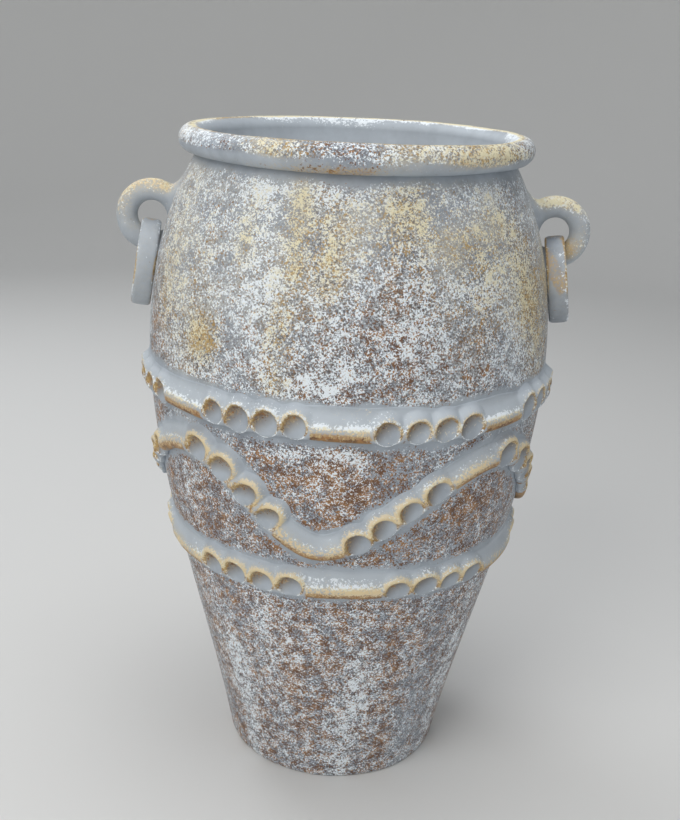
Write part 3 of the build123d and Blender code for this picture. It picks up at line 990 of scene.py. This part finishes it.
def make_paint(name, fleck_size, mist_edge):
    """Grey, darkened brown by painted shade where a piece asks for it, and misted gold, with rust, cream and
    white flecks over it, and painted shade in the pits between the flecks.
    """
    paint = bpy.data.materials.new(name)
    paint.use_nodes = True
    tree = paint.node_tree
    place = add_node(tree, "ShaderNodeTexCoord", {}).outputs["Object"]
    broad = noise(tree, place, BROAD_SIZE, 3, 0.55, 1)
    clumps = noise(tree, place, CLUMP_SIZE, 3, 0.6, 2)
    rust_clumps = noise(tree, place, RUST_CLUMP_SIZE, 3, 0.6, 3)
    white_grain = noise(tree, place, fleck_size, 3, 0.62, 4, swirl=0.7)
    rust_grain = noise(tree, place, 1.1 * fleck_size, 3, 0.62, 5)
    brush_grain = noise(tree, place, 0.9 * fleck_size, 4, 0.65, 6)
    clay = noise(tree, place, CLAY_SIZE, 2, 0.6, 7)
    layers = ("pale", "painted_shade", "ochre", "gold", "brown", "cream", "white")
    pale, painted_shade, ochre, gold, brown, cream, white = (amount_of(tree, layer) for layer in layers)

    shade = between(tree, weighed(tree, (broad, 0.6), (clumps, 0.4)), 0.34, 0.66)
    colour = mix(tree, shade, GREY_DEEP, GREY_LIGHT)
    colour = mix(tree, pale, colour, GREY_PALE)
    # Painted shade in dark brown
    colour = mix(tree, painted_shade, colour, PAINTED_SHADE)
    stain = between(tree, weighed(tree, (ochre, 1.0), (brush_grain, 1.2), (clumps, 0.6)), 1.1, 1.7)
    stain_colour = mix(tree, between(tree, brush_grain, 0.52 - mist_edge, 0.52 + mist_edge), RUST, GOLD)
    colour = mix(tree, combined(tree, "MULTIPLY", stain, 0.9), colour, stain_colour)
    misty = weighed(tree, (broad, 0.4), (brush_grain, 0.6))
    cover = between(tree, misty, 0.51 - mist_edge, 0.51 + mist_edge)
    mist = combined(tree, "MULTIPLY", combined(tree, "MULTIPLY", gold, cover), 0.8)
    colour = mix(tree, mist, colour, mix(tree, white_grain, OCHRE, PALE_GOLD))

    # Painted shade: near-black specks in the pits between the white flecks, where white and brown paint are
    # sponged
    pit_shade = combined(tree, "MULTIPLY", between(tree, white_grain, 0.5, 0.4), between(tree, white, 0.15, 0.45))
    pit_shade = combined(tree, "MULTIPLY", pit_shade, between(tree, brown, 0.28, 0.55))
    colour = mix(tree, combined(tree, "MULTIPLY", pit_shade, 0.9), colour, PIT_SHADE)
    rust_flecks = between(tree, fleck_height(tree, brown, rust_clumps, rust_grain), -0.025, 0.025)
    rust = mix(tree, between(tree, clumps, 0.38, 0.62), RUST_DEEP, RUST)
    rust = mix(tree, between(tree, gold, 0.2, 0.8), rust, OCHRE)
    colour = mix(tree, rust_flecks, colour, rust)
    brushed = between(tree, fleck_height(tree, cream, broad, brush_grain), -0.09, 0.09)
    colour = mix(tree, brushed, colour, mix(tree, gold, CREAM, BRUSHED_GOLD))
    white_flecks = between(tree, fleck_height(tree, white, clumps, white_grain), -0.03, 0.03)
    gilded = weighed(tree, (gold, 1.0), (clumps, 1.2), (rust_grain, 1.4))
    colour = mix(tree, white_flecks, colour, mix(tree, between(tree, gilded, 1.7, 2.35), WHITE, GILT))

    relief = weighed(tree, (white_flecks, 0.5), (rust_flecks, 0.3), (clay, 0.5))
    bump_inputs = {"Height": relief, "Strength": BUMP_STRENGTH, "Distance": BUMP_DEPTH}
    bump = add_node(tree, "ShaderNodeBump", bump_inputs)
    rough = combined(tree, "ADD", weighed(tree, (white_flecks, 0.2), (clay, 0.2)), LEAST_ROUGHNESS)
    shader = tree.nodes["Principled BSDF"]
    shader.inputs["Specular IOR Level"].default_value = SPECULAR_LEVEL
    tree.links.new(colour, shader.inputs["Base Color"])
    tree.links.new(rough, shader.inputs["Roughness"])
    tree.links.new(bump.outputs["Normal"], shader.inputs["Normal"])
    return paint


# Stage, lights and camera
def make_stage():
    """A pale round floor that sweeps up into a wall all round."""
    angle = np.linspace(0, 2 * np.pi, FLOOR_STEPS_ROUND, endpoint=False)
    turn = np.linspace(0, np.pi / 2, FLOOR_BEND_ROWS)
    radius = np.append(FLOOR_RADIUS + FLOOR_BEND * np.sin(turn), FLOOR_RADIUS + FLOOR_BEND)
    height = np.append(FLOOR_BEND - FLOOR_BEND * np.cos(turn), FLOOR_WALL)
    across, level = np.meshgrid(angle, height)
    corners = np.stack([radius[:, None] * np.cos(across), radius[:, None] * np.sin(across), level], axis=-1)
    index = np.arange(corners.size // 3).reshape(-1, FLOOR_STEPS_ROUND)
    sides = [index[:-1], index[1:], np.roll(index[1:], -1, axis=1), np.roll(index[:-1], -1, axis=1)]
    faces = [index[0].tolist()] + np.stack(sides, axis=-1).reshape(-1, 4).tolist()
    mesh = bpy.data.meshes.new("floor")
    mesh.from_pydata(corners.reshape(-1, 3).tolist(), [], faces)
    mesh.shade_smooth()
    surface = bpy.data.materials.new("pale_floor")
    surface.use_nodes = True
    shader = surface.node_tree.nodes["Principled BSDF"]
    shader.inputs["Base Color"].default_value = FLOOR_COLOUR
    shader.inputs["Roughness"].default_value = FLOOR_ROUGHNESS
    mesh.materials.append(surface)
    floor = bpy.data.objects.new("floor", mesh)
    bpy.context.scene.collection.objects.link(floor)


def make_lights():
    for name, place, size, power, colour in LAMPS:
        lamp = bpy.data.lights.new(name, "AREA")
        lamp.shape = "DISK"
        lamp.size = size
        lamp.energy = power
        lamp.color = colour
        light = bpy.data.objects.new(name, lamp)
        light.location = place
        light.rotation_euler = (Vector(LAMP_TARGET) - Vector(place)).to_track_quat("-Z", "Y").to_euler()
        light.visible_camera = False
        bpy.context.scene.collection.objects.link(light)
    world = bpy.data.worlds.new("studio")
    world.use_nodes = True
    background = world.node_tree.nodes["Background"]
    background.inputs["Color"].default_value = WORLD_COLOUR
    background.inputs["Strength"].default_value = WORLD_STRENGTH
    bpy.context.scene.world = world


def make_camera():
    yaw, pitch = CAMERA_YAW, CAMERA_PITCH
    ahead = Vector((np.sin(yaw) * np.cos(pitch), np.cos(yaw) * np.cos(pitch), -np.sin(pitch)))
    right = Vector((np.cos(yaw), -np.sin(yaw), 0))
    upward = right.cross(ahead)
    rolled_right = np.cos(CAMERA_ROLL) * right + np.sin(CAMERA_ROLL) * upward
    rolled_up = np.cos(CAMERA_ROLL) * upward - np.sin(CAMERA_ROLL) * right
    lens = bpy.data.cameras.new("camera")
    lens.lens = CAMERA_LENS
    camera = bpy.data.objects.new("camera", lens)
    turned = Matrix((rolled_right, rolled_up, -ahead)).transposed()
    camera.matrix_world = Matrix.Translation(CAMERA_PLACE) @ turned.to_4x4()
    bpy.context.scene.collection.objects.link(camera)
    bpy.context.scene.camera = camera


wall_paint = make_paint("wall_paint", fleck_size=1.5 * MM, mist_edge=0.14)
rim_paint = make_paint("rim_paint", fleck_size=1.8 * MM, mist_edge=0.11)
band_paint = make_paint("band_paint", fleck_size=2.0 * MM, mist_edge=0.14)
lug_paint = make_paint("lug_paint", fleck_size=2.2 * MM, mist_edge=0.28)
ring_paint = make_paint("ring_paint", fleck_size=2.6 * MM, mist_edge=0.22)

make_base()
make_wall("lower_wall", base_top, lower_joint)
make_wall("belly_wall", lower_joint, upper_joint)
make_wall("shoulder_wall", upper_joint, wall_top)
make_rim()
make_bands()
make_lug("left_lug", "left_ring_swing", gilding=0.9)
make_lug("right_lug", "right_ring_swing", gilding=0.4)
# The left ring is painted paler than the right: painted light, the left ring lit and the right one in shade
make_ring("left_ring", LEFT_RING_SEED, paleness=0.4)
make_ring("right_ring", RIGHT_RING_SEED, paleness=0.0)
make_stage()
make_lights()
make_camera()
bpy.context.scene.view_settings.view_transform = "Standard"
